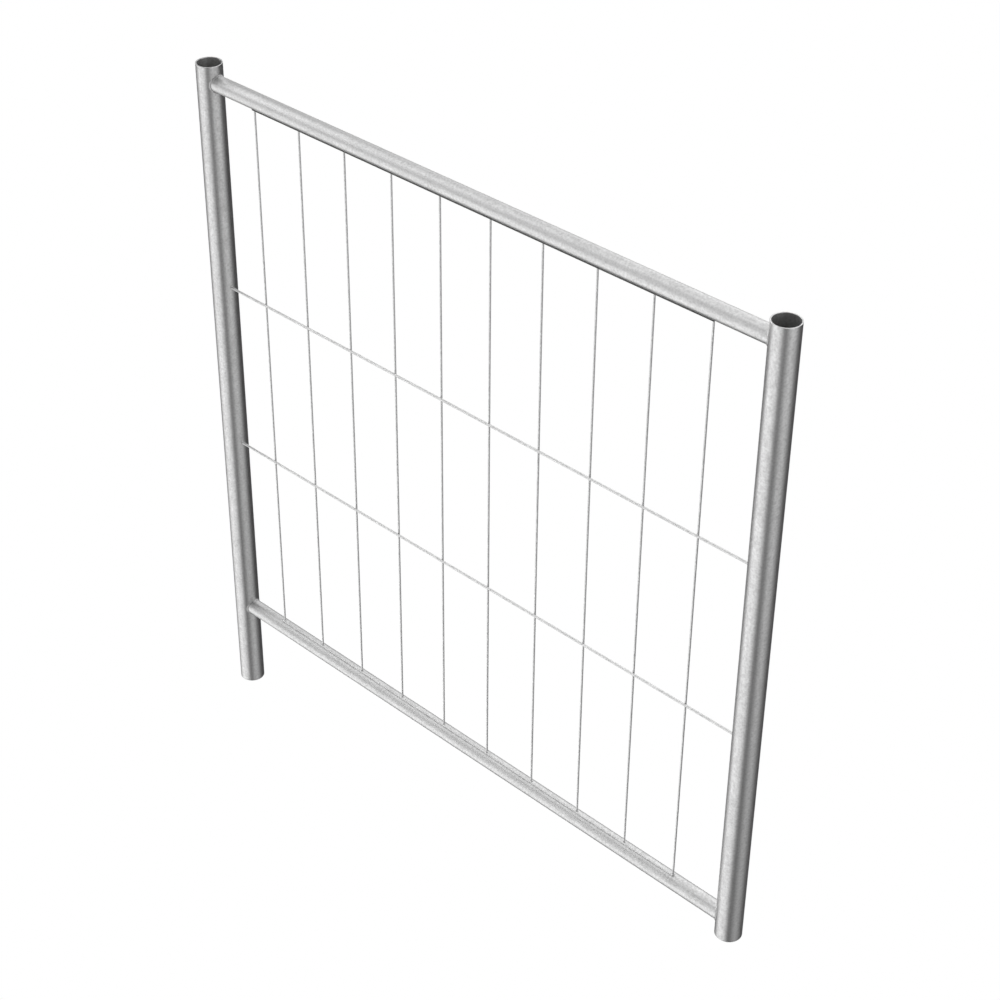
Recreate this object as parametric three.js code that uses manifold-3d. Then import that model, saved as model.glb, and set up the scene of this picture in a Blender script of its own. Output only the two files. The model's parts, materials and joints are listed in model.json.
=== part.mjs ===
// Gate leaf of a livestock panel fence: a welded, hot-dip galvanised steel frame filled with wire mesh.
//
// Two upright posts are joined by two horizontal rails, whose ends are cut to the round of the posts.
// Vertical wires run from rail to rail. Four line wires cross them on the front: two run from post to
// post, and two lie along the rails, from the first vertical wire to the last. The left post is the
// longer one: its foot reaches below the bottom rail, so that the leaf stands or turns on it, and the
// right post ends just under the rail and clears the ground.
//
// Millimetres, +Z up, X along the rails, front towards -Y. The origin is on the ground, under the
// middle of the leaf: the left post's foot is at Z = 0.

import * as THREE from 'three';
import { ParametricGeometry } from 'three/addons/geometries/ParametricGeometry.js';
import { mergeVertices } from 'three/addons/utils/BufferGeometryUtils.js';
import Module from 'manifold-3d';

// ---------------------------------------------------------------- driving dimensions

const POST_DIAMETER = 42.4;
const POST_WALL = 2.0;
const POST_SPACING = 1116; // from one post's axis to the other's
const LEFT_POST_LENGTH = 1202.5;
const RIGHT_POST_LENGTH = 1067;

const RAIL_DIAMETER = 26.9;
const RAIL_WALL = 2.0;
const RAIL_FROM_POST_END = 30; // from the right post's ends to the rails' axes

const VERTICAL_WIRE_COUNT = 10;
const VERTICAL_WIRE_DIAMETER = 3.0;
const VERTICAL_WIRE_PITCH = 100;
const FIRST_VERTICAL_WIRE_FROM_LEFT_POST = 103.3;

const LINE_WIRE_DIAMETER = 4.0;
const LINE_WIRE_SPACING = 300; // between the two line wires that run from post to post

const EDGE_WIRE_DIAMETER = 3.0;
const EDGE_WIRE_OVERHANG = 2; // past the axis of the first and of the last vertical wire

const RAIL_WELD_LEG = 1.6;
const WIRE_WELD_LEG = 0.9;
const WELD_BULGE = 0.25; // of the leg, in the middle of the outer face

const GAP = 0.3; // clearance kept between pieces that touch on the real leaf

const POST_SIDES = 64;
const RAIL_SIDES = 48;
const WIRE_SIDES = 16;
const RAIL_WELD_SIDES = 40;
const WIRE_WELD_SIDES = 14;
const WELD_FACE_STEPS = 3; // facets across a bead's outer face
const MERGE_DISTANCE = 1e-5; // vertices closer than this are one vertex

// ---------------------------------------------------------------- derived positions

const POST_RADIUS = POST_DIAMETER / 2;
const RAIL_RADIUS = RAIL_DIAMETER / 2;
const VERTICAL_WIRE_RADIUS = VERTICAL_WIRE_DIAMETER / 2;
const LINE_WIRE_RADIUS = LINE_WIRE_DIAMETER / 2;
const EDGE_WIRE_RADIUS = EDGE_WIRE_DIAMETER / 2;

const LEFT_POST_X = -POST_SPACING / 2;
const RIGHT_POST_X = POST_SPACING / 2;
const POST_TOP_Z = LEFT_POST_LENGTH;
const RIGHT_FOOT_Z = POST_TOP_Z - RIGHT_POST_LENGTH;

const TOP_RAIL_Z = POST_TOP_Z - RAIL_FROM_POST_END;
const BOTTOM_RAIL_Z = RIGHT_FOOT_Z + RAIL_FROM_POST_END;
const MESH_MIDDLE_Z = (TOP_RAIL_Z + BOTTOM_RAIL_Z) / 2;

const FIRST_VERTICAL_WIRE_X = LEFT_POST_X + FIRST_VERTICAL_WIRE_FROM_LEFT_POST;
const LAST_VERTICAL_WIRE_X = FIRST_VERTICAL_WIRE_X + (VERTICAL_WIRE_COUNT - 1) * VERTICAL_WIRE_PITCH;

// The line wires touch the front of the vertical wires, whose axes lie in the plane of the rails.
const LINE_WIRE_Y = -(VERTICAL_WIRE_RADIUS + LINE_WIRE_RADIUS + GAP);
const UPPER_LINE_WIRE_Z = MESH_MIDDLE_Z + LINE_WIRE_SPACING / 2;
const LOWER_LINE_WIRE_Z = MESH_MIDDLE_Z - LINE_WIRE_SPACING / 2;

// An edge wire also touches its rail, which gives its height off the rail's axis.
const EDGE_WIRE_Y = -(VERTICAL_WIRE_RADIUS + EDGE_WIRE_RADIUS + GAP);
const EDGE_WIRE_RISE = Math.sqrt((RAIL_RADIUS + EDGE_WIRE_RADIUS + GAP) ** 2 - EDGE_WIRE_Y ** 2);

// ---------------------------------------------------------------- materials

function galvanised(color, roughness) {
  const metalness = 0.9;
  return new THREE.MeshStandardMaterial({ color, roughness, metalness });
}

const postMaterial = () => galvanised(0xd4d4d4, 0.45);
const railMaterial = () => galvanised(0xd7d7d7, 0.45);
const wireMaterial = () => galvanised(0xdfdfdf, 0.45);
const weldMaterial = () => galvanised(0xcbcbcb, 0.5);

// The wire under the top rail is dull and dark, where flux and ash stay in the crevice.
const crevicedWireMaterial = () => galvanised(0x595959, 0.5);

// ---------------------------------------------------------------- cutting with solids

const wasm = await Module();
wasm.setup();

function solidFromGeometry(geometry) {
  const bare = geometry.clone();
  bare.deleteAttribute('normal');
  bare.deleteAttribute('uv');
  const merged = mergeVertices(bare, MERGE_DISTANCE);
  return new wasm.Manifold(
    new wasm.Mesh({
      numProp: 3,
      vertProperties: new Float32Array(merged.attributes.position.array),
      triVerts: new Uint32Array(merged.index.array),
    }),
  );
}

function geometryFromSolid(solid) {
  const mesh = solid.getMesh();
  const geometry = new THREE.BufferGeometry();
  geometry.setAttribute('position', new THREE.BufferAttribute(mesh.vertProperties, 3));
  geometry.setIndex(new THREE.BufferAttribute(mesh.triVerts, 1));
  geometry.computeVertexNormals();
  return geometry;
}

function cutAway(geometry, cutters) {
  let solid = solidFromGeometry(geometry);
  for (const cutter of cutters) {
    solid = solid.subtract(solidFromGeometry(cutter));
  }
  return geometryFromSolid(solid);
}

// ---------------------------------------------------------------- basic shapes

// A tube, or a rod where the wall is the full radius, along +Z from zero.
function tubeAlongZ(radius, wall, length, sides) {
  const bore = radius - wall;
  const profile = [
    new THREE.Vector2(bore, 0),
    new THREE.Vector2(radius, 0),
    new THREE.Vector2(radius, length),
    new THREE.Vector2(bore, length),
  ];
  if (bore > 0) {
    profile.push(new THREE.Vector2(bore, 0));
  }
  const geometry = new THREE.LatheGeometry(profile, sides);
  geometry.rotateX(Math.PI / 2);
  return geometry;
}

function rodAlongZ(radius, length, sides) {
  return tubeAlongZ(radius, radius, length, sides);
}

function tubeFromTo(radius, wall, sides, axis, start, length) {
  const geometry = tubeAlongZ(radius, wall, length, sides);
  if (axis === 'x') {
    geometry.rotateY(Math.PI / 2);
  }
  geometry.translate(start.x, start.y, start.z);
  return geometry;
}

// Solid cylinders a gap larger than the posts and the rails, which shape the ends that meet them.
function postCutters() {
  const radius = POST_RADIUS + GAP;
  return [LEFT_POST_X, RIGHT_POST_X].map((x) => {
    const cutter = rodAlongZ(radius, POST_TOP_Z, POST_SIDES);
    cutter.translate(x, 0, 0);
    return cutter;
  });
}

function railCutters() {
  const radius = RAIL_RADIUS + GAP;
  return [TOP_RAIL_Z, BOTTOM_RAIL_Z].map((z) => {
    const start = new THREE.Vector3(LEFT_POST_X, 0, z);
    return tubeFromTo(radius, radius, RAIL_SIDES, 'x', start, POST_SPACING);
  });
}

// ---------------------------------------------------------------- posts and rails

function postGeometry(length) {
  return tubeAlongZ(POST_RADIUS, POST_WALL, length, POST_SIDES);
}

function railGeometry(z) {
  const start = new THREE.Vector3(LEFT_POST_X, 0, z);
  const tube = tubeFromTo(RAIL_RADIUS, RAIL_WALL, RAIL_SIDES, 'x', start, POST_SPACING);
  return cutAway(tube, postCutters());
}

// ---------------------------------------------------------------- wires

function verticalWireGeometry(x) {
  const start = new THREE.Vector3(x, 0, BOTTOM_RAIL_Z);
  const length = TOP_RAIL_Z - BOTTOM_RAIL_Z;
  const radius = VERTICAL_WIRE_RADIUS;
  return cutAway(tubeFromTo(radius, radius, WIRE_SIDES, 'z', start, length), railCutters());
}

function lineWireGeometry(z) {
  const start = new THREE.Vector3(LEFT_POST_X, LINE_WIRE_Y, z);
  const radius = LINE_WIRE_RADIUS;
  return cutAway(tubeFromTo(radius, radius, WIRE_SIDES, 'x', start, POST_SPACING), postCutters());
}

function edgeWireGeometry(z) {
  const startX = FIRST_VERTICAL_WIRE_X - EDGE_WIRE_OVERHANG;
  const length = LAST_VERTICAL_WIRE_X + EDGE_WIRE_OVERHANG - startX;
  const start = new THREE.Vector3(startX, EDGE_WIRE_Y, z);
  return tubeFromTo(EDGE_WIRE_RADIUS, EDGE_WIRE_RADIUS, WIRE_SIDES, 'x', start, length);
}

// ---------------------------------------------------------------- weld beads

// A fillet bead in the corner where a round branch meets a round main tube. In the bead's own frame
// the main tube's axis is Z and the branch leaves it along +X, its axis offset from the main tube's
// by `offset` along Y. Around the bead the section has three corners: the root, in the corner itself,
// the toe on the branch and the toe on the main tube. The outer face between the toes bulges a little.
function weldBeadGeometry({ branchRadius, mainRadius, offset, leg, sides }) {
  const branch = branchRadius + GAP;
  const main = mainRadius + GAP;
  const sectionSteps = WELD_FACE_STEPS + 2;

  // The distance along X to the main tube's surface, at the given place across it.
  const mainSurfaceX = (y) => Math.sqrt(main ** 2 - y ** 2);

  function surface(u, v, target) {
    const angle = -u * 2 * Math.PI;
    const corner = Math.round(v * sectionSteps) % sectionSteps;
    const across = Math.min(corner - 1, WELD_FACE_STEPS) / WELD_FACE_STEPS;
    const onRoot = corner === 0;
    const bulge = onRoot ? 0 : WELD_BULGE * leg * Math.sin(across * Math.PI);
    const rise = onRoot ? 0 : across * leg + bulge;
    const reach = onRoot ? 0 : (1 - across) * leg + bulge;
    const y = offset + (branch + rise) * Math.cos(angle);
    const z = (branch + rise) * Math.sin(angle);
    target.set(mainSurfaceX(y) + reach, y, z);
  }

  return new ParametricGeometry(surface, sides, sectionSteps);
}

const railWeld = () =>
  weldBeadGeometry({
    branchRadius: RAIL_RADIUS,
    mainRadius: POST_RADIUS,
    offset: 0,
    leg: RAIL_WELD_LEG,
    sides: RAIL_WELD_SIDES,
  });

const lineWireWeld = (side) =>
  weldBeadGeometry({
    branchRadius: LINE_WIRE_RADIUS,
    mainRadius: POST_RADIUS,
    offset: side * LINE_WIRE_Y,
    leg: WIRE_WELD_LEG,
    sides: WIRE_WELD_SIDES,
  });

// A vertical wire's bead is open at the front, where the edge wire lies against the wire and the rail.
function verticalWireWeld() {
  const bead = weldBeadGeometry({
    branchRadius: VERTICAL_WIRE_RADIUS,
    mainRadius: RAIL_RADIUS,
    offset: 0,
    leg: WIRE_WELD_LEG,
    sides: WIRE_WELD_SIDES,
  });
  const cutLength = 2 * VERTICAL_WIRE_DIAMETER + 4 * WIRE_WELD_LEG; // longer than the bead is wide
  const edgeWire = rodAlongZ(EDGE_WIRE_RADIUS + GAP, cutLength, WIRE_SIDES);
  edgeWire.translate(EDGE_WIRE_RISE, EDGE_WIRE_Y, -cutLength / 2);
  return cutAway(bead, [edgeWire]);
}

// ---------------------------------------------------------------- assembly

const leaf = new THREE.Group();

function addPiece(name, geometry, material) {
  const mesh = new THREE.Mesh(geometry, material);
  mesh.name = name;
  leaf.add(mesh);
  return mesh;
}

const leftPost = addPiece('left_post', postGeometry(LEFT_POST_LENGTH), postMaterial());
leftPost.position.set(LEFT_POST_X, 0, 0);
const rightPost = addPiece('right_post', postGeometry(RIGHT_POST_LENGTH), postMaterial());
rightPost.position.set(RIGHT_POST_X, 0, RIGHT_FOOT_Z);

addPiece('top_rail', railGeometry(TOP_RAIL_Z), railMaterial());
addPiece('bottom_rail', railGeometry(BOTTOM_RAIL_Z), railMaterial());

addPiece('upper_line_wire', lineWireGeometry(UPPER_LINE_WIRE_Z), wireMaterial());
addPiece('lower_line_wire', lineWireGeometry(LOWER_LINE_WIRE_Z), wireMaterial());
addPiece('top_edge_wire', edgeWireGeometry(TOP_RAIL_Z - EDGE_WIRE_RISE), crevicedWireMaterial());
addPiece('bottom_edge_wire', edgeWireGeometry(BOTTOM_RAIL_Z + EDGE_WIRE_RISE), wireMaterial());

// A bead's own +X leaves the main tube along the branch, so the beads on the right post are turned
// half round their own Z, and those of a vertical wire are tipped to point up or down from the rail.
const POST_ENDS = [
  { side: 'left', x: LEFT_POST_X, turn: 0, sign: 1 },
  { side: 'right', x: RIGHT_POST_X, turn: Math.PI, sign: -1 },
];

for (const { side, x, turn, sign } of POST_ENDS) {
  for (const [rail, z] of [['top', TOP_RAIL_Z], ['bottom', BOTTOM_RAIL_Z]]) {
    const bead = addPiece(`${rail}_rail_weld_${side}`, railWeld(), weldMaterial());
    bead.position.set(x, 0, z);
    bead.rotation.z = turn;
  }
  for (const [wire, z] of [['upper', UPPER_LINE_WIRE_Z], ['lower', LOWER_LINE_WIRE_Z]]) {
    const bead = addPiece(`${wire}_line_wire_weld_${side}`, lineWireWeld(sign), weldMaterial());
    bead.position.set(x, 0, z);
    bead.rotation.z = turn;
  }
}

for (let index = 0; index < VERTICAL_WIRE_COUNT; index += 1) {
  const number = String(index + 1).padStart(2, '0');
  const x = FIRST_VERTICAL_WIRE_X + index * VERTICAL_WIRE_PITCH;
  addPiece(`vertical_wire_${number}`, verticalWireGeometry(x), wireMaterial());
  for (const [end, z, tip] of [['top', TOP_RAIL_Z, 1], ['bottom', BOTTOM_RAIL_Z, -1]]) {
    const bead = addPiece(`vertical_wire_${number}_weld_${end}`, verticalWireWeld(), weldMaterial());
    bead.position.set(x, 0, z);
    bead.rotation.set(0, (tip * Math.PI) / 2, 0);
  }
}

export default leaf;
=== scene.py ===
import json
import math

import bpy
from mathutils import Matrix, Vector, noise


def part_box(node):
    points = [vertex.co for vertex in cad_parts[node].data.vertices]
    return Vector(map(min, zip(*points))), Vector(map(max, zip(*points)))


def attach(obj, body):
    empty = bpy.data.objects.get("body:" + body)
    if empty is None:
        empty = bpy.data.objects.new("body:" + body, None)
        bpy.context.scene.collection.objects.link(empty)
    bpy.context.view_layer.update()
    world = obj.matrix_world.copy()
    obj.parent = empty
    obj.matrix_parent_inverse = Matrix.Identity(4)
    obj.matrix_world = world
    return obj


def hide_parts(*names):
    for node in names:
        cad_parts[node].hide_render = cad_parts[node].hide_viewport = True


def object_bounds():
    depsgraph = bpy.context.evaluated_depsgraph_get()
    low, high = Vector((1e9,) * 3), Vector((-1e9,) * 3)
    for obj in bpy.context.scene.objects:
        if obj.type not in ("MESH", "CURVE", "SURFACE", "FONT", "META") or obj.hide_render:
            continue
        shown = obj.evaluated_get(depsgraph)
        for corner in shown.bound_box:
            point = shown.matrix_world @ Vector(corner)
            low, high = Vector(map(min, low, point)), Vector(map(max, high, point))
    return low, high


# The looks of a livestock panel gate leaf: a welded, hot-dip galvanised frame of tubes and wires.
#
# Every CAD node is replaced by a finer mesh in the same place: true round tubes with deburred rims and
# rails cut to the round of the posts, wires with rounded cut ends, rippled weld beads, and the spots
# where crossing wires are pressed and welded into each other. Metres, +Z up, front towards -Y.

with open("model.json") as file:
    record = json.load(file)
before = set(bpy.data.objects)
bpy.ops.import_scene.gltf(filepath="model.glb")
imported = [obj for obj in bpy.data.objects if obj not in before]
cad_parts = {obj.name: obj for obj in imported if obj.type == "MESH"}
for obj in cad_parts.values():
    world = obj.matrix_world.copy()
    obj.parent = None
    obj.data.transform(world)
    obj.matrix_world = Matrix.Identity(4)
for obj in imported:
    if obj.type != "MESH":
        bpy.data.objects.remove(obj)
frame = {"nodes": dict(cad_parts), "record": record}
cad_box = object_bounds()

MM = 0.001

# ---------------------------------------------------------------- sizes that the CAD model doesn't hold

CAD_GAP = 0.3 * MM  # kept between touching pieces in the CAD model, and closed here
RIM_ROUNDING = 0.35 * MM  # on the edges of a sawn and dipped tube end
WIRE_END_ROUNDING = 0.5 * MM
SADDLE_BLEND_LENGTH = 25 * MM  # over which the rings of a rail turn from its cut end to straight

ZINC_SWELL = 0.035 * MM  # uneven thickness of the zinc layer
ZINC_SWELL_LENGTH = 28 * MM

RAIL_WELD_LEG = 1.6 * MM
RAIL_WELD_RIPPLE = 1.5 * MM  # from one solidified ripple to the next
WIRE_WELD_LEG = 1.0 * MM
WIRE_WELD_RIPPLE = 1.1 * MM
CROSSING_SET_DOWN = 0.12 * MM  # how deep crossing wires are pressed into each other
CROSSING_WELD_SIZE = Vector((1.0 * MM, 0.6 * MM, 1.0 * MM))  # half of it, each way

# ---------------------------------------------------------------- how finely the meshes are divided

POST_SIDES = 112
RAIL_SIDES = 88
WIRE_SIDES = 24
TUBE_RING_SPACING = 9 * MM
BORE_RING_SPACING = 12 * TUBE_RING_SPACING  # wider, as the bores are even
WIRE_RING_SPACING = 25 * MM
SUPPORT_DISTANCE = 1.5 * MM  # from an end to the ring that keeps the shading even beside it
ROUNDING_STEPS = 4
WALL_STEPS = 3  # across the wall, at a rail's cut end

# Each pair counts the steps round the joint and across the bead's face.
RAIL_WELD_STEPS = (420, 12)
LINE_WIRE_WELD_STEPS = (64, 8)
VERTICAL_WIRE_WELD_STEPS = (56, 8)

BUTTON_ROWS = 8
BUTTON_COLUMNS = 16

# ---------------------------------------------------------------- the zinc

# Scales are the number of features in a metre, details are the finer layers of a noise, and tones are
# parts of the base colour.
CRYSTAL_SCALE, CRYSTAL_TONE = 220.0, 0.03
CLOUD_SCALE, CLOUD_DETAIL, CLOUD_TONE = 40.0, 4.0, 0.03
MOTTLE_SCALE, MOTTLE_DETAIL, MOTTLE_TONE = 300.0, 2.0, 0.13
MARK_SCALE, MARK_DETAIL, MARK_TONE = 700.0, 3.0, 0.04
MARK_STRETCH = 0.06  # the part of that scale that is left along the marks
GRAIN_SCALE, GRAIN_DETAIL = 1400.0, 2.0
TONE_TO_ROUGHNESS = 0.5  # how much smoother a lighter place is

# Each bump is a strength and the height of the pattern that it follows.
CRYSTAL_BUMP = (0.05, 0.4 * MM)
MARK_BUMP = (0.10, 0.05 * MM)
GRAIN_BUMP = (0.12, 0.05 * MM)

TUBE_ROUGHNESS = 0.45
DULL_ROUGHNESS = 0.5  # of weld beads and of the wire in the crevice
WELD_UNEVENNESS = 1.3

# ---------------------------------------------------------------- camera and studio

CAMERA_LENS = 78.44  # in millimetres, as is the width of the sensor
CAMERA_SENSOR = 36.0
CAMERA_DISTANCE = 3.3577  # from the place that it aims at
CAMERA_AZIMUTH = math.radians(43.827)
CAMERA_ELEVATION = math.radians(34.612)
CAMERA_ROLL = math.radians(0.593)
CAMERA_AIM_OFFSET = Vector((0.0167, 0.0545, 0.0402))  # of that place from the middle of the leaf

STUDIO_RADIUS = 12.0
STUDIO_HEIGHT = 12.0
STUDIO_SIDES = 64

# Each softbox: azimuth from +X towards +Y, elevation, half its width and its edge's softness, all in
# degrees, and its brightness.
SOFTBOXES = {
    "bright one on the left": (192, 15, 8.8, 8.8, 8.4),
    "large one high on the left": (185, 62.5, 29, 4.9, 1.1),
    "large one behind": (100, 31, 34, 5.8, 1.33),
    "small one in front": (251, 27.7, 9, 9.2, 2.08),
    "reflector low in front": (245, -28, 36.7, 8.3, 1.24),
    "brighter part of the reflector": (208, -39.5, 9.9, 9.3, 0.51),
    "weak one on the right": (-2, -6, 25.5, 25.5, 1.08),
    "small one on the right": (-4, 14.7, 7.2, 5, 1.9),
    "fill for the back of the leaf": (42, 48, 20, 14, 1.3),
}


# ---------------------------------------------------------------- mesh building


def add_skin(points, faces, rings, closed):
    """Adds a skin over equally long rings of points, each joined to the next.

    A closed skin joins its last ring to its first, and an open one ends in a fan of triangles.
    """
    first = len(points)
    count = len(rings[0])
    points.extend(point for ring in rings for point in ring)
    steps = len(rings) if closed else len(rings) - 1
    for row in range(steps):
        here = first + row * count
        there = first + ((row + 1) % len(rings)) * count
        for column in range(count):
            after = (column + 1) % count
            faces.append((here + column, here + after, there + after, there + column))
    if closed:
        return
    last = first + (len(rings) - 1) * count
    for start, ring, flip in ((first, rings[0], True), (last, rings[-1], False)):
        middle = len(points)
        points.append(sum(ring, Vector()) / count)
        for column in range(count):
            here, after = start + column, start + (column + 1) % count
            faces.append((after, here, middle) if flip else (here, after, middle))


def mesh_from_skins(name, skins, closed):
    """One smooth mesh made of separate skins, each a list of rings."""
    points = []
    faces = []
    for rings in skins:
        add_skin(points, faces, rings, closed)
    mesh = bpy.data.meshes.new(name)
    mesh.from_pydata([tuple(point) for point in points], [], faces)
    mesh.validate()
    mesh.shade_smooth()
    return mesh


def add_piece(name, mesh, material, nodes=()):
    """Puts a finished mesh into the scene, riding on the leaf's only body."""
    piece = bpy.data.objects.new(name, mesh)
    bpy.context.scene.collection.objects.link(piece)
    mesh.materials.append(material)
    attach(piece, "root")
    if nodes:
        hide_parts(*nodes)
    return piece


def arc(centre, radius, start, end, steps):
    """Points on an arc in the plane of (radius, height); angles in degrees from the first axis."""
    angles = [math.radians(start + (end - start) * step / steps) for step in range(steps + 1)]
    return [(centre[0] + radius * math.cos(a), centre[1] + radius * math.sin(a)) for a in angles]


def stations(start, end, spacing):
    """Evenly spaced places between two ends, the first and last of them close to the ends."""
    inner_start, inner_end = start + SUPPORT_DISTANCE, end - SUPPORT_DISTANCE
    count = max(2, round((inner_end - inner_start) / spacing))
    return [inner_start + (inner_end - inner_start) * step / count for step in range(count + 1)]


def tube_outline(radius, bore, length):
    """The closed outline of a tube's wall as (radius, height) points, from its lower bore edge round."""
    edge = RIM_ROUNDING
    outer_places = stations(edge, length - edge, TUBE_RING_SPACING)
    inner_places = stations(edge, length - edge, BORE_RING_SPACING)
    outline = arc((bore + edge, edge), edge, 180, 270, ROUNDING_STEPS)
    outline += arc((radius - edge, edge), edge, 270, 360, ROUNDING_STEPS)
    outline += [(radius, place) for place in outer_places]
    outline += arc((radius - edge, length - edge), edge, 0, 90, ROUNDING_STEPS)
    outline += arc((bore + edge, length - edge), edge, 90, 180, ROUNDING_STEPS)
    outline += [(bore, place) for place in reversed(inner_places)]
    return outline


def zinc_swell(point):
    """How far the zinc's surface is from the nominal one at a point, and never past it."""
    return ZINC_SWELL * noise.noise(point / ZINC_SWELL_LENGTH) - ZINC_SWELL


def circle(sides):
    """The directions of a ring's points, as pairs of a cosine and a sine."""
    angles = [2 * math.pi * side / sides for side in range(sides)]
    return [(math.cos(angle), math.sin(angle)) for angle in angles]


# ---------------------------------------------------------------- measures of the CAD nodes


class Round:
    """The middle, the radius and the ends of a straight round CAD node."""

    def __init__(self, node, axis):
        low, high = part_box(node)
        self.centre = (low + high) / 2
        across = {"x": "z", "z": "x"}[axis]
        self.radius = (getattr(high, across) - getattr(low, across)) / 2
        self.start = getattr(low, axis)
        self.end = getattr(high, axis)
        self.length = self.end - self.start


def bore_radius(node, centre):
    """The smallest distance of a tube's vertices from its vertical axis."""
    vertices = frame["nodes"][node].data.vertices
    return min((vertex.co.xy - centre.xy).length for vertex in vertices)


left_post = Round("left_post", "z")
right_post = Round("right_post", "z")
top_rail = Round("top_rail", "x")
bottom_rail = Round("bottom_rail", "x")
upper_line_wire = Round("upper_line_wire", "x")
lower_line_wire = Round("lower_line_wire", "x")
top_edge_wire = Round("top_edge_wire", "x")
bottom_edge_wire = Round("bottom_edge_wire", "x")
vertical_wires = {
    name: Round(name, "z")
    for name in sorted(frame["nodes"])
    if name.startswith("vertical_wire_") and "weld" not in name
}
first_wire = vertical_wires["vertical_wire_01"]

POST_RADIUS = left_post.radius
POST_BORE = bore_radius("left_post", left_post.centre)
WALL = POST_RADIUS - POST_BORE
RAIL_RADIUS = top_rail.radius
RAIL_BORE = RAIL_RADIUS - WALL
LINE_WIRE_Y = -(first_wire.radius + upper_line_wire.radius - CROSSING_SET_DOWN)
EDGE_WIRE_Y = -(first_wire.radius + top_edge_wire.radius - CROSSING_SET_DOWN)
# The edge wires' axes are this far above or below a rail's axis.
EDGE_WIRE_RISE = math.sqrt((RAIL_RADIUS + top_edge_wire.radius) ** 2 - EDGE_WIRE_Y**2)

# ---------------------------------------------------------------- materials


def add_node(tree, kind, inputs=None, **settings):
    """A shader node with its settings, its values and its incoming links."""
    node = tree.nodes.new(kind)
    for key, value in settings.items():
        setattr(node, key, value)
    for key, value in (inputs or {}).items():
        if isinstance(value, bpy.types.NodeSocket):
            tree.links.new(value, node.inputs[key])
        else:
            node.inputs[key].default_value = value
    return node


def remapped(tree, value, from_low, from_high, low, high, curve="LINEAR"):
    """A value moved from one range to another, and held at that range's ends."""
    inputs = {
        "Value": value,
        "From Min": from_low,
        "From Max": from_high,
        "To Min": low,
        "To Max": high,
    }
    return add_node(tree, "ShaderNodeMapRange", inputs, interpolation_type=curve).outputs["Result"]


def math_node(tree, operation, first, second):
    """Two values added, subtracted or multiplied."""
    return add_node(tree, "ShaderNodeMath", {0: first, 1: second}, operation=operation).outputs[0]


def new_material(name):
    """An empty node material and its shader."""
    material = bpy.data.materials.new(name)
    material.use_nodes = True
    tree = material.node_tree
    tree.nodes.clear()
    shader = tree.nodes.new("ShaderNodeBsdfPrincipled")
    output = tree.nodes.new("ShaderNodeOutputMaterial")
    tree.links.new(shader.outputs["BSDF"], output.inputs["Surface"])
    return material, tree, shader


def slot_color(slot):
    """The base colour that the record gives a material slot."""
    found = [entry for entry in frame["record"]["materials"] if entry["slot"] == slot]
    return found[0]["base_color"]


def noise_pattern(tree, place, scale, detail):
    """A cloudy pattern from zero to one, with features of about 1 / scale metres."""
    inputs = {"Vector": place, "Scale": scale, "Detail": detail}
    return add_node(tree, "ShaderNodeTexNoise", inputs).outputs["Fac"]


def tone_of(tree, pattern, depth, low=0.25, high=0.75):
    """A pattern as a change of brightness of up to `depth` either way.

    A noise hardly leaves the middle half of its range, from `low` to `high`.
    """
    return remapped(tree, pattern, low, high, -depth, depth)


def bumped(tree, pattern, bump, below=None):
    """A normal that is tilted by a pattern's slope, on top of another one's tilt."""
    strength, height = bump
    inputs = {"Height": pattern, "Strength": strength, "Distance": height}
    if below is not None:
        inputs["Normal"] = below
    return add_node(tree, "ShaderNodeBump", inputs).outputs["Normal"]


def zinc(name, slot, axis, roughness, unevenness=1.0):
    """Hot-dip galvanised steel: crystals, fine mottling, dull clouds and faint marks along an axis."""
    material, tree, shader = new_material(name)
    place = add_node(tree, "ShaderNodeTexCoord").outputs["Object"]
    stretch = {"x": (MARK_STRETCH, 1.0, 1.0), "z": (1.0, 1.0, MARK_STRETCH)}[axis]
    along = add_node(tree, "ShaderNodeMapping", {"Vector": place, "Scale": stretch}).outputs["Vector"]

    cells = add_node(tree, "ShaderNodeTexVoronoi", {"Vector": place, "Scale": CRYSTAL_SCALE})
    channels = add_node(tree, "ShaderNodeSeparateColor", {"Color": cells.outputs["Color"]})
    crystals = channels.outputs["Red"]
    clouds = noise_pattern(tree, place, CLOUD_SCALE, CLOUD_DETAIL)
    mottles = noise_pattern(tree, place, MOTTLE_SCALE, MOTTLE_DETAIL)
    marks = noise_pattern(tree, along, MARK_SCALE, MARK_DETAIL)
    grains = noise_pattern(tree, place, GRAIN_SCALE, GRAIN_DETAIL)

    tone = tone_of(tree, crystals, CRYSTAL_TONE * unevenness, 0.0, 1.0)
    for pattern, depth in ((clouds, CLOUD_TONE), (mottles, MOTTLE_TONE), (marks, MARK_TONE)):
        tone = math_node(tree, "ADD", tone, tone_of(tree, pattern, depth * unevenness))
    inputs = {0: slot_color(slot), "Scale": math_node(tree, "ADD", tone, 1.0)}
    color = add_node(tree, "ShaderNodeVectorMath", inputs, operation="SCALE").outputs["Vector"]
    tree.links.new(color, shader.inputs["Base Color"])

    # Light places are a little smoother than dull ones.
    smoother = math_node(tree, "MULTIPLY", tone, TONE_TO_ROUGHNESS)
    rough = math_node(tree, "SUBTRACT", roughness, smoother)
    tree.links.new(rough, shader.inputs["Roughness"])

    facets = bumped(tree, crystals, CRYSTAL_BUMP)
    scratches = bumped(tree, marks, MARK_BUMP, facets)
    surface = bumped(tree, grains, GRAIN_BUMP, scratches)
    tree.links.new(surface, shader.inputs["Normal"])
    shader.inputs["Metallic"].default_value = 1.0
    return material


def post_material():
    """The posts' zinc, inside and outside."""
    return zinc("galvanised_post", "post_tube", "z", TUBE_ROUGHNESS)


def rail_material():
    """The posts' zinc, with its marks along the rail."""
    return zinc("galvanised_rail", "rail_tube", "x", TUBE_ROUGHNESS)


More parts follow.
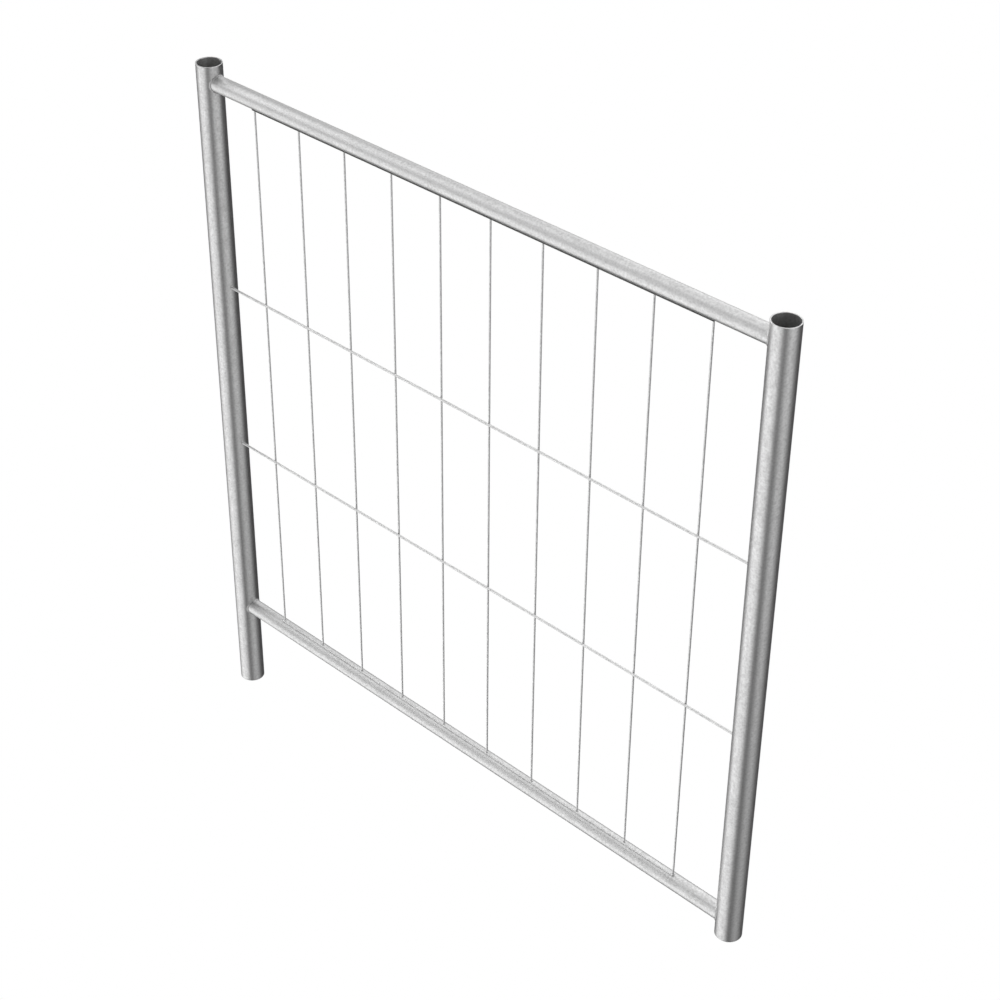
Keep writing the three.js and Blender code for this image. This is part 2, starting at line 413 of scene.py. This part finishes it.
def vertical_wire_material():
    """Drawn wire's zinc, with its marks along the upright wires."""
    return zinc("galvanised_vertical_wire", "mesh_wire", "z", TUBE_ROUGHNESS)


def line_wire_material():
    """The same zinc, with its marks along the level wires."""
    return zinc("galvanised_line_wire", "mesh_wire", "x", TUBE_ROUGHNESS)


def painted_shade_wire_material():
    """The wire under the top rail: dull zinc whose darker base colour is painted shade, standing for the
    rail's shadow on it.
    """
    return zinc("painted_shade_edge_wire", "creviced_wire", "x", DULL_ROUGHNESS)


def weld_material():
    """The duller and more uneven zinc of the weld beads."""
    return zinc("galvanised_weld", "weld_bead", "z", DULL_ROUGHNESS, WELD_UNEVENNESS)


def studio_material():
    """An evenly lit white, which just reaches the brightest tone and isn't overexposed."""
    material, _, shader = new_material("white_studio")
    shader.inputs["Base Color"].default_value = (0.0, 0.0, 0.0, 1.0)
    shader.inputs["Specular IOR Level"].default_value = 0.0
    shader.inputs["Roughness"].default_value = 1.0
    shader.inputs["Emission Color"].default_value = (1.0, 1.0, 1.0, 1.0)
    shader.inputs["Emission Strength"].default_value = 1.0
    material.cycles.emission_sampling = "NONE"
    return material


# ---------------------------------------------------------------- posts


def post_mesh(name, post):
    """An open tube along Z, with a faintly uneven zinc surface."""
    base = Vector((post.centre.x, post.centre.y, post.start))
    rings = []
    for radius, height in tube_outline(POST_RADIUS, POST_BORE, post.length):
        ring = []
        for cos, sin in circle(POST_SIDES):
            direction = Vector((cos, sin, 0))
            point = base + direction * radius + Vector((0, 0, height))
            if radius >= POST_RADIUS - RIM_ROUNDING:
                point += direction * zinc_swell(point)
            ring.append(point)
        rings.append(ring)
    return mesh_from_skins(name, [rings], closed=True)


# ---------------------------------------------------------------- rails


def saddle_x(offset_y):
    """How far from a post's axis the post's surface is, at a place across it."""
    return math.sqrt(POST_RADIUS**2 - offset_y**2)


def blend_out(share):
    """Falls smoothly from one to zero as the share goes from zero to one."""
    clamped = min(1.0, max(0.0, share))
    return 1.0 - clamped * clamped * (3.0 - 2.0 * clamped)


def rail_mesh(name, rail):
    """A tube along X between the posts, each end cut to the round of the post that it meets."""
    left_x, right_x = left_post.centre.x, right_post.centre.x
    last = right_x - left_x - 2 * POST_RADIUS
    outer_places = stations(0, last, TUBE_RING_SPACING)
    inner_places = stations(0, last, BORE_RING_SPACING)
    wall = [RAIL_BORE + (RAIL_RADIUS - RAIL_BORE) * step / WALL_STEPS for step in range(WALL_STEPS + 1)]

    # Each ring is a radius and a place along the rail, counted from the left post's surface.
    outline = [(radius, 0) for radius in wall]
    outline += [(RAIL_RADIUS, place) for place in outer_places]
    outline += [(radius, last) for radius in reversed(wall)]
    outline += [(RAIL_BORE, place) for place in reversed(inner_places)]

    rings = []
    for radius, place in outline:
        ring = []
        for cos, sin in circle(RAIL_SIDES):
            saddle = saddle_x(radius * cos) - POST_RADIUS
            from_left = blend_out(place / SADDLE_BLEND_LENGTH)
            from_right = blend_out((last - place) / SADDLE_BLEND_LENGTH)
            x = left_x + POST_RADIUS + place + saddle * (from_left - from_right)
            direction = Vector((0, cos, sin))
            point = Vector((x, rail.centre.y, rail.centre.z)) + direction * radius
            if radius == RAIL_RADIUS:
                point += direction * zinc_swell(point)
            ring.append(point)
        rings.append(ring)
    return mesh_from_skins(name, [rings], closed=True)


# ---------------------------------------------------------------- wires


def rod_outline(radius, start, end):
    """The (radius, place) rings of a rod with rounded ends."""
    edge = WIRE_END_ROUNDING
    corner = (radius - edge, 0)
    first = [(r, start + edge - depth) for r, depth in arc(corner, edge, 90, 0, ROUNDING_STEPS)]
    last = [(r, end - edge + depth) for r, depth in arc(corner, edge, 0, 90, ROUNDING_STEPS)]
    between = [(radius, place) for place in stations(start + edge, end - edge, WIRE_RING_SPACING)]
    return first + between + last


def rod_mesh(name, radius, start, end, axis_point, along):
    """A straight wire through a point, between two places along X or Z."""
    rings = []
    for ring_radius, place in rod_outline(radius, start, end):
        ring = []
        for cos, sin in circle(WIRE_SIDES):
            first, second = ring_radius * cos, ring_radius * sin
            if along == "x":
                point = Vector((place, axis_point.y + first, axis_point.z + second))
            else:
                point = Vector((axis_point.x + first, axis_point.y + second, place))
            ring.append(point)
        rings.append(ring)
    return mesh_from_skins(name, [rings], closed=False)


def line_wire_mesh(name, wire):
    """A wire in front of the vertical ones, its ends let into the fillets on the posts."""
    axis_point = Vector((0, LINE_WIRE_Y, wire.centre.z))
    reach = saddle_x(LINE_WIRE_Y)
    start = left_post.centre.x + reach
    end = right_post.centre.x - reach
    return rod_mesh(name, wire.radius, start, end, axis_point, "x")


def edge_wire_mesh(name, wire, rail):
    """A wire that lies along a rail, pressed onto the vertical wires and the rail."""
    side = 1 if wire.centre.z > rail.centre.z else -1
    axis_point = Vector((0, EDGE_WIRE_Y, rail.centre.z + side * EDGE_WIRE_RISE))
    return rod_mesh(name, wire.radius, wire.start, wire.end, axis_point, "x")


def vertical_wire_mesh(name, wire):
    """A wire from the underside of the top rail to the crown of the bottom rail."""
    start = bottom_rail.centre.z + RAIL_RADIUS - CAD_GAP
    end = top_rail.centre.z - RAIL_RADIUS + CAD_GAP
    return rod_mesh(name, wire.radius, start, end, Vector((wire.centre.x, wire.centre.y, 0)), "z")


# ---------------------------------------------------------------- welds


def bead_point(main, offset, radius, reach, angle):
    """A point `radius` from the branch's axis and `reach` off the main tube's surface."""
    y = offset + radius * math.cos(angle)
    z = radius * math.sin(angle)
    return Vector((math.sqrt(main**2 - y**2) + reach, y, z))


def bead_mesh(name, branch, main, offset, leg, ripple, place, steps):
    """A rippled fillet bead in the corner where a round branch leaves a round main tube.

    In the bead's own frame the main tube's axis is Z and the branch runs along +X, `offset` off the
    main axis along Y. `place` then takes the bead to the leaf.
    """
    # All but the last three are parts of the leg.
    unevenness = 0.12
    face_bulge, ridge_height = 0.20, 0.09
    root_depth, root_inset, sink_depth = 0.35, 0.5, 0.06
    ripple_lag = 0.35  # of a ripple, by which its ends trail behind its middle
    noise_spread = 40  # moves each bead to another part of the noise
    noise_scale = 1.7

    around_steps, face_steps = steps
    seed = place.to_translation() * noise_spread
    length = 2 * math.pi * (branch + leg / 2)
    ripple_count = round(length / ripple)
    rings = []
    for step in range(around_steps):
        angle = 2 * math.pi * step / around_steps
        around = Vector((math.cos(angle), math.sin(angle), 0))
        local_leg = leg * (1.0 + unevenness * noise.noise(seed + around * noise_scale))
        ring = [bead_point(main, offset, branch - root_inset * leg, -root_depth * leg, angle)]
        for face in range(face_steps + 1):
            share = face / face_steps
            crescent = (2 * share - 1) ** 2
            phase = step / around_steps * ripple_count - ripple_lag * crescent
            ridge = abs(math.sin(math.pi * phase)) * (1 - crescent)
            bulge = leg * (face_bulge + ridge_height * ridge) * math.sin(math.pi * share)
            sink = sink_depth * leg
            rise = share * (local_leg + sink) - sink + bulge
            reach = (1 - share) * (local_leg + sink) - sink + bulge
            ring.append(bead_point(main, offset, branch + rise, reach, angle))
        rings.append([place @ point for point in ring])
    return mesh_from_skins(name, [rings], closed=True)


def post_weld_place(post, z):
    """From a bead's own frame to a joint on a post: the beads of the right post are turned round."""
    turn = 0.0 if post is left_post else math.pi
    return Matrix.Translation((post.centre.x, post.centre.y, z)) @ Matrix.Rotation(turn, 4, "Z")


def rail_weld_place(rail, wire_x):
    """From a bead's own frame to a vertical wire's end on a rail, pointing away from the rail."""
    tip = math.pi / 2 if rail is top_rail else -math.pi / 2
    return Matrix.Translation((wire_x, rail.centre.y, rail.centre.z)) @ Matrix.Rotation(tip, 4, "Y")


def rail_weld(name, post, rail):
    """The bead round a rail's end, on a post."""
    place = post_weld_place(post, rail.centre.z)
    leg, ripple, steps = RAIL_WELD_LEG, RAIL_WELD_RIPPLE, RAIL_WELD_STEPS
    return bead_mesh(name, RAIL_RADIUS, POST_RADIUS, 0.0, leg, ripple, place, steps)


def line_wire_weld(name, post, wire):
    """The small bead round a line wire's end, on a post."""
    place = post_weld_place(post, wire.centre.z)
    offset = LINE_WIRE_Y if post is left_post else -LINE_WIRE_Y
    leg, ripple, steps = WIRE_WELD_LEG, WIRE_WELD_RIPPLE, LINE_WIRE_WELD_STEPS
    return bead_mesh(name, wire.radius, POST_RADIUS, offset, leg, ripple, place, steps)


def vertical_wire_weld(name, rail, wire):
    """The small bead round a vertical wire's end, on a rail."""
    place = rail_weld_place(rail, wire.centre.x)
    leg, ripple, steps = WIRE_WELD_LEG, WIRE_WELD_RIPPLE, VERTICAL_WIRE_WELD_STEPS
    return bead_mesh(name, wire.radius, RAIL_RADIUS, 0.0, leg, ripple, place, steps)


def button_rings(centre):
    """The rings of one flat, slightly uneven button of metal, its short way along Y."""
    unevenness = 0.10
    noise_spread = 300  # moves each button to another part of the noise
    noise_scale = 1.5
    rings = []
    for row in range(1, BUTTON_ROWS):
        polar = math.pi * row / BUTTON_ROWS
        ring = []
        for cos, sin in circle(BUTTON_COLUMNS):
            direction = Vector((math.sin(polar) * cos, math.cos(polar), math.sin(polar) * sin))
            bumps = noise.noise(centre * noise_spread + direction * noise_scale)
            swell = 1.0 + unevenness * bumps
            ring.append(centre + Vector(a * b for a, b in zip(direction, CROSSING_WELD_SIZE)) * swell)
        rings.append(ring)
    return rings


def crossing_weld_mesh(name, centres):
    """The metal squeezed out between crossing wires, one button at each crossing."""
    return mesh_from_skins(name, [button_rings(centre) for centre in centres], closed=False)


# ---------------------------------------------------------------- the leaf


def build_posts():
    """Both posts, each one piece."""
    material = post_material()
    for name, post in (("left_post", left_post), ("right_post", right_post)):
        add_piece(f"{name}_tube", post_mesh(name, post), material, [name])


def build_rails():
    """Both rails, each one piece."""
    material = rail_material()
    for name, rail in (("top_rail", top_rail), ("bottom_rail", bottom_rail)):
        add_piece(f"{name}_tube", rail_mesh(name, rail), material, [name])


def build_wires():
    """The ten vertical wires, the two line wires and the two edge wires."""
    upright = vertical_wire_material()
    level = line_wire_material()
    painted_shade_zinc = painted_shade_wire_material()
    for name, wire in vertical_wires.items():
        add_piece(f"{name}_rod", vertical_wire_mesh(name, wire), upright, [name])
    for name, wire in (("upper_line_wire", upper_line_wire), ("lower_line_wire", lower_line_wire)):
        add_piece(f"{name}_rod", line_wire_mesh(name, wire), level, [name])
    # The top edge wire's darker zinc is painted shade, standing for the shadow of the rail above it; the
    # bottom one keeps the line wires' zinc.
    for name, wire, rail, material, slot in (
        ("top_edge_wire", top_edge_wire, top_rail, painted_shade_zinc, "creviced_wire"),
        ("bottom_edge_wire", bottom_edge_wire, bottom_rail, level, "mesh_wire"),
    ):
        add_piece(f"{name}_rod", edge_wire_mesh(name, wire, rail), material, [name])


def build_welds(material):
    """The beads at the ends of the rails, the line wires and the vertical wires."""
    beads = {}
    for side, post in (("left", left_post), ("right", right_post)):
        for end, rail in (("top", top_rail), ("bottom", bottom_rail)):
            node = f"{end}_rail_weld_{side}"
            beads[node] = rail_weld(node, post, rail)
        for end, wire in (("upper", upper_line_wire), ("lower", lower_line_wire)):
            node = f"{end}_line_wire_weld_{side}"
            beads[node] = line_wire_weld(node, post, wire)
    for name, wire in vertical_wires.items():
        for end, rail in (("top", top_rail), ("bottom", bottom_rail)):
            node = f"{name}_weld_{end}"
            beads[node] = vertical_wire_weld(node, rail, wire)
    for node, mesh in beads.items():
        add_piece(f"{node}_bead", mesh, material, [node])


def build_crossings(material):
    """The resistance welds, where the line and edge wires cross the vertical ones."""
    contact_y = -first_wire.radius + CROSSING_SET_DOWN / 2
    heights = {
        "upper_line_wire": upper_line_wire.centre.z,
        "lower_line_wire": lower_line_wire.centre.z,
        "top_edge_wire": top_rail.centre.z - EDGE_WIRE_RISE,
        "bottom_edge_wire": bottom_rail.centre.z + EDGE_WIRE_RISE,
    }
    for crossing_wire, height in heights.items():
        centres = [Vector((wire.centre.x, contact_y, height)) for wire in vertical_wires.values()]
        name = f"{crossing_wire}_crossing_welds"
        add_piece(name, crossing_weld_mesh(name, centres), material)


# ---------------------------------------------------------------- studio


def add_stage(name, points, faces, material):
    """A part of the studio that the camera sees, and that light and reflections pass through."""
    mesh = bpy.data.meshes.new(name)
    mesh.from_pydata(points, [], faces)
    mesh.materials.append(material)
    stage = bpy.data.objects.new(name, mesh)
    bpy.context.scene.collection.objects.link(stage)
    stage.visible_glossy = False
    stage.visible_shadow = False


def build_studio():
    """A wide pale floor under the leaf, and a pale round wall far behind it."""
    material = studio_material()
    ground = cad_box[0][2]
    rim = [(STUDIO_RADIUS * cos, STUDIO_RADIUS * sin) for cos, sin in circle(STUDIO_SIDES)]
    floor_points = [(x, y, ground) for x, y in rim]
    add_stage("floor", floor_points, [tuple(range(STUDIO_SIDES))], material)

    wall_points = [(x, y, height) for height in (ground, ground + STUDIO_HEIGHT) for x, y in rim]
    wall_faces = []
    for side in range(STUDIO_SIDES):
        after = (side + 1) % STUDIO_SIDES
        wall_faces.append((side, after, STUDIO_SIDES + after, STUDIO_SIDES + side))
    add_stage("backdrop", wall_points, wall_faces, material)


def softbox(tree, view, azimuth, elevation, half_angle, feather, brightness):
    """A round patch of light in the surroundings, with a soft edge.

    The angles are in degrees, and the azimuth runs from +X towards +Y.
    """
    turn, tilt = math.radians(azimuth), math.radians(elevation)
    aim = Vector((math.cos(turn) * math.cos(tilt), math.sin(turn) * math.cos(tilt), math.sin(tilt)))
    facing = add_node(tree, "ShaderNodeVectorMath", {0: view, 1: aim}, operation="DOT_PRODUCT")
    dark_from = math.cos(math.radians(half_angle + feather))
    full_from = math.cos(math.radians(max(0.0, half_angle - feather)))
    return remapped(
        tree, facing.outputs["Value"], dark_from, full_from, 0.0, brightness, "SMOOTHSTEP"
    )


def build_surroundings():
    """Studio light: softboxes in a dark room, which the zinc shows as long soft bands."""
    world = bpy.data.worlds.new("studio")
    bpy.context.scene.world = world
    world.use_nodes = True
    tree = world.node_tree
    tree.nodes.clear()
    view = add_node(tree, "ShaderNodeTexCoord").outputs["Generated"]
    light = 0.0
    for patch in SOFTBOXES.values():
        light = math_node(tree, "ADD", softbox(tree, view, *patch), light)
    inputs = {"Color": (1.0, 1.0, 1.0, 1.0), "Strength": light}
    background = add_node(tree, "ShaderNodeBackground", inputs)
    output = tree.nodes.new("ShaderNodeOutputWorld")
    tree.links.new(background.outputs["Background"], output.inputs["Surface"])


def build_camera():
    """The camera looks down at the leaf's front from its right."""
    azimuth, elevation = CAMERA_AZIMUTH, CAMERA_ELEVATION
    back = Vector(
        (
            math.sin(azimuth) * math.cos(elevation),
            -math.cos(azimuth) * math.cos(elevation),
            math.sin(elevation),
        )
    )
    level_right = Vector((math.cos(azimuth), math.sin(azimuth), 0))
    level_up = back.cross(level_right)
    right = math.cos(CAMERA_ROLL) * level_right + math.sin(CAMERA_ROLL) * level_up
    up = back.cross(right)
    middle = (Vector(cad_box[0]) + Vector(cad_box[1])) / 2
    data = bpy.data.cameras.new("camera")
    data.lens = CAMERA_LENS
    data.sensor_width = CAMERA_SENSOR
    camera = bpy.data.objects.new("camera", data)
    bpy.context.scene.collection.objects.link(camera)
    place = middle + CAMERA_AIM_OFFSET + back * CAMERA_DISTANCE
    turned = Matrix((right, up, back)).transposed().to_4x4()
    camera.matrix_world = Matrix.Translation(place) @ turned
    bpy.context.scene.camera = camera


weld_zinc = weld_material()
build_posts()
build_rails()
build_wires()
build_welds(weld_zinc)
build_crossings(weld_zinc)
build_studio()
build_surroundings()
build_camera()
bpy.context.scene.view_settings.view_transform = "Standard"
